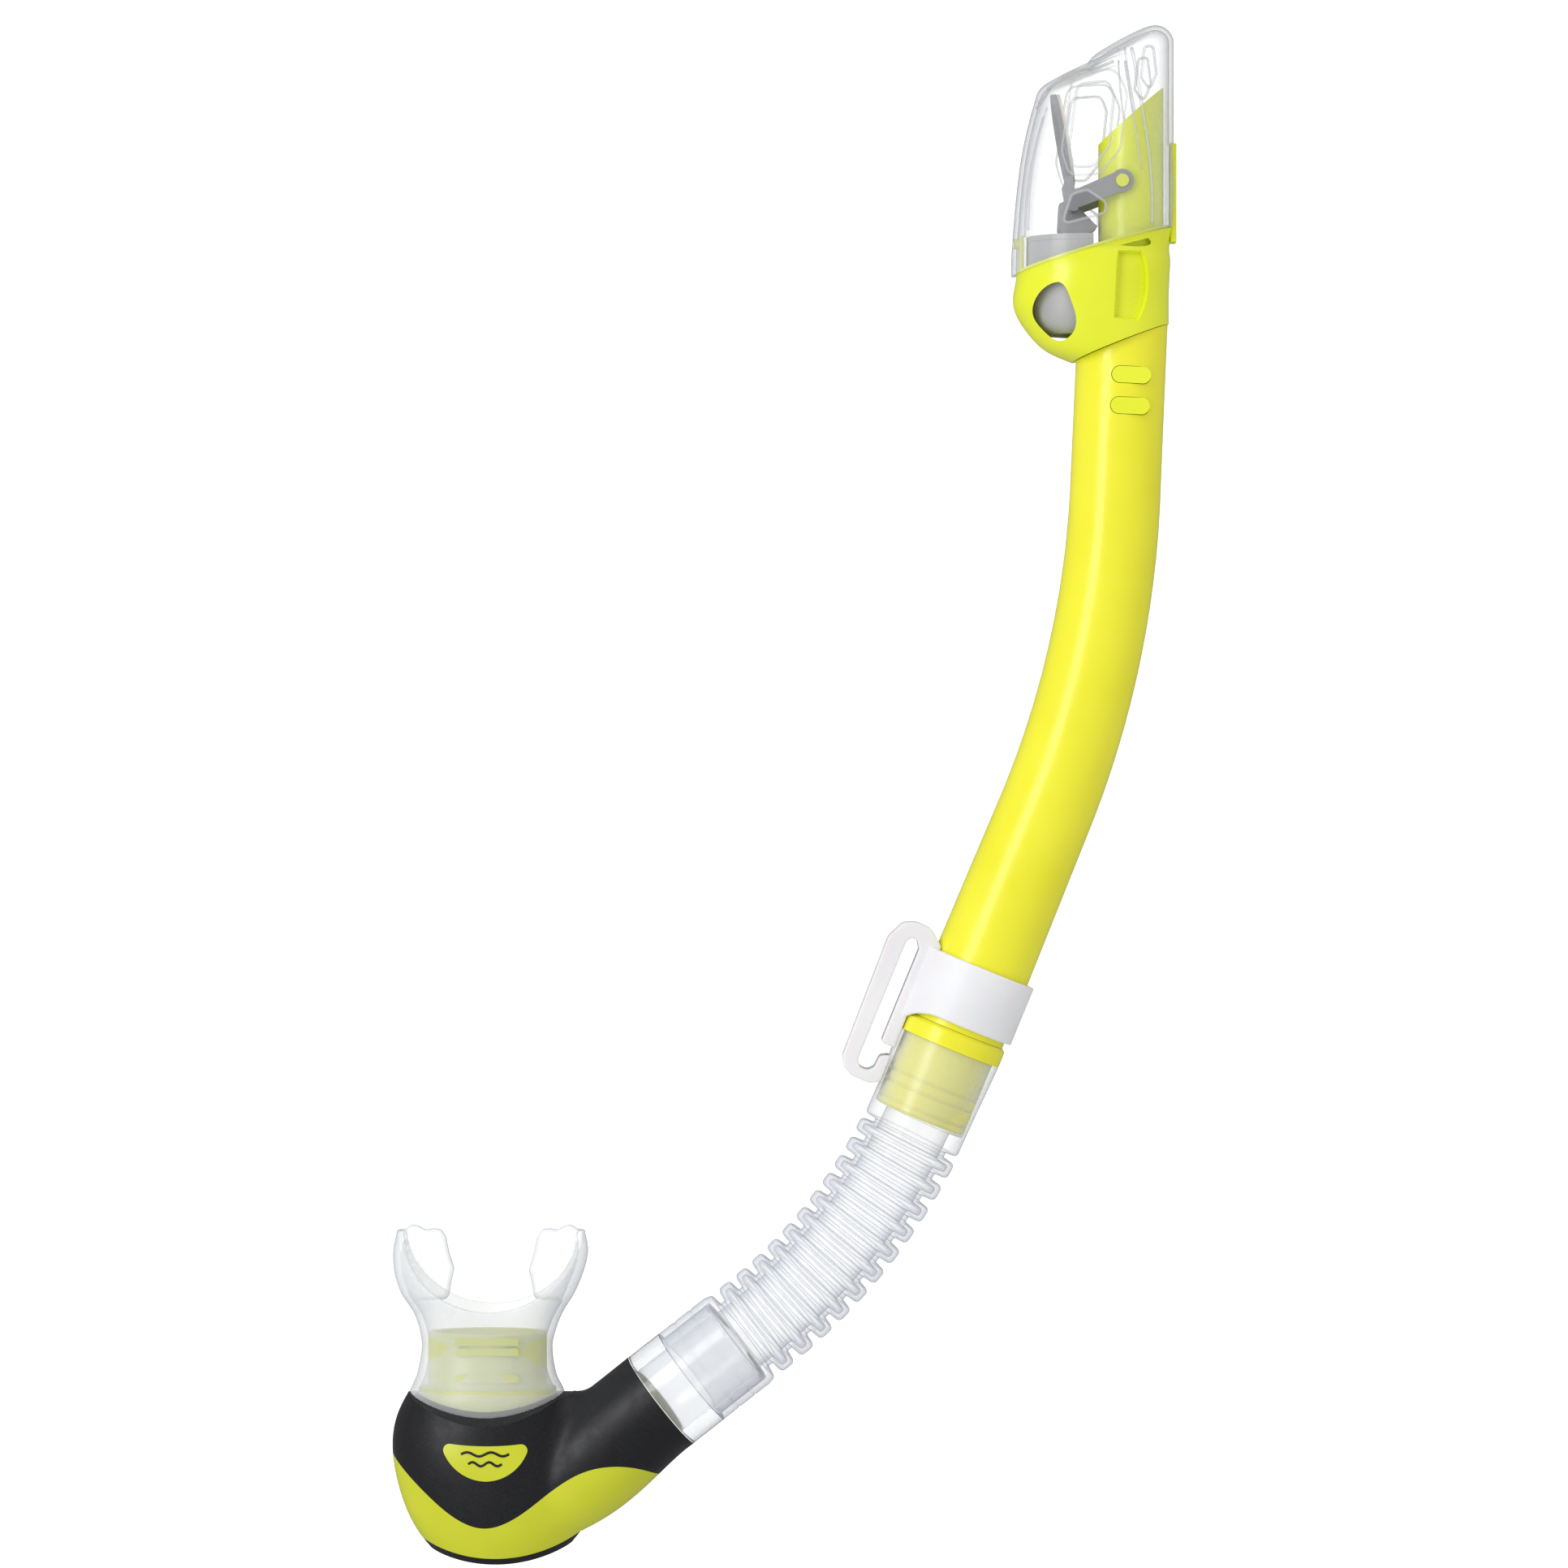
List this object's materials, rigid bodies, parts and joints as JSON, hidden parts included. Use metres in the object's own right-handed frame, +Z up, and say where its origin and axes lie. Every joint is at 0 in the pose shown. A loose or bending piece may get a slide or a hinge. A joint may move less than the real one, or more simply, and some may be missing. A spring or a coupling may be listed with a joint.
{
  "type": "dry-top snorkel",
  "caption": "Dry-top snorkel: bent barrel, float-valve top with clear cover, sliding strap keeper, corrugated hose, swivelling chamber with purge valve and silicone mouthpiece.",
  "frame": {"origin": "middle of the keeper's strap slot, on the snorkel's plane of symmetry", "axes": "+Z up along the snorkel towards the dry top, +X from the mouthpiece side towards the barrel side, Y across the symmetry plane"},
  "size_m": [0.2199, 0.035, 0.4291],
  "materials": {
    "barrel_yellow": "glossy PVC, solid yellow",
    "housing_lime": "glossy moulded plastic, lime yellow",
    "lime_plastic": "satin moulded plastic, lime",
    "graphite_soft": "soft-touch overmould, fine grain",
    "keeper_white": "semi-matt white polyurethane",
    "milky_silicone": "translucent milky silicone",
    "clear_silicone": "translucent silicone",
    "seal_silicone": "pale silicone",
    "hose_clear": "clear silicone, slightly frosted",
    "clear_plastic": "clear polycarbonate",
    "grey_plastic": "satin grey plastic",
    "float_grey": "satin light grey plastic",
    "black_rubber": "nitrile O-ring"
  },
  "bodies": {
    "keeper": {"snorkel_keeper": "keeper_white"},
    "barrel": {"main_tube": "barrel_yellow", "hose_spigot": "barrel_yellow", "corrugated_hose": "hose_clear", "intake_pipe": "housing_lime", "neck_seal_ring": "black_rubber", "dry_top_housing": "housing_lime", "dry_top_cover": "clear_plastic"},
    "float": {"float_shell": "float_grey", "float_cap": "float_grey"},
    "lever": {"valve_lever": "grey_plastic", "flap_seal": "seal_silicone"},
    "coupling": {"hose_coupling": "clear_plastic", "coupling_o_ring": "black_rubber", "swivel_retainer": "clear_plastic"},
    "chamber": {"chamber_body": "lime_plastic", "chamber_overmold": "graphite_soft", "mouthpiece": "milky_silicone", "purge_seat": "lime_plastic", "purge_cover": "graphite_soft"},
    "purge": {"purge_valve": "clear_silicone"}
  },
  "joints": [
    {"name": "keeper_slide", "type": "slide", "parent": "keeper", "child": "barrel", "axis": [-0.3811, 0, -0.9245], "range_m": [0, 0.04]},
    {"name": "float_rise", "type": "slide", "parent": "barrel", "child": "float", "axis": [0, 0, 1], "range_m": [0, 0.014]},
    {"name": "valve_swing", "type": "hinge", "parent": "barrel", "child": "lever", "pos_m": [0.0645, 0, 0.2282], "axis": [0, 1, 0], "range_deg": [0, 58.61]},
    {"name": "hose_flex", "type": "hinge", "parent": "barrel", "child": "coupling", "pos_m": [-0.00964, 0, -0.063], "axis": [0, 1, 0], "range_deg": [-20, 20], "stiffness_Nm_per_rad": 0.9, "deforming": ["corrugated_hose"]},
    {"name": "chamber_swivel", "type": "hinge", "parent": "coupling", "child": "chamber", "pos_m": [-0.06394, 0, -0.11203], "axis": [0.788, 0, 0.6157], "range_deg": [-90, 90]},
    {"name": "purge_lift", "type": "slide", "parent": "chamber", "child": "purge", "axis": [0, 0, -1], "range_m": [0, 0.0012], "stiffness_N_per_m": 40, "springref_m": -0.0008}
  ],
  "couplings": [
    {"joint": "valve_swing", "follows": "float_rise", "rad_per_m": 73.054}
  ]
}
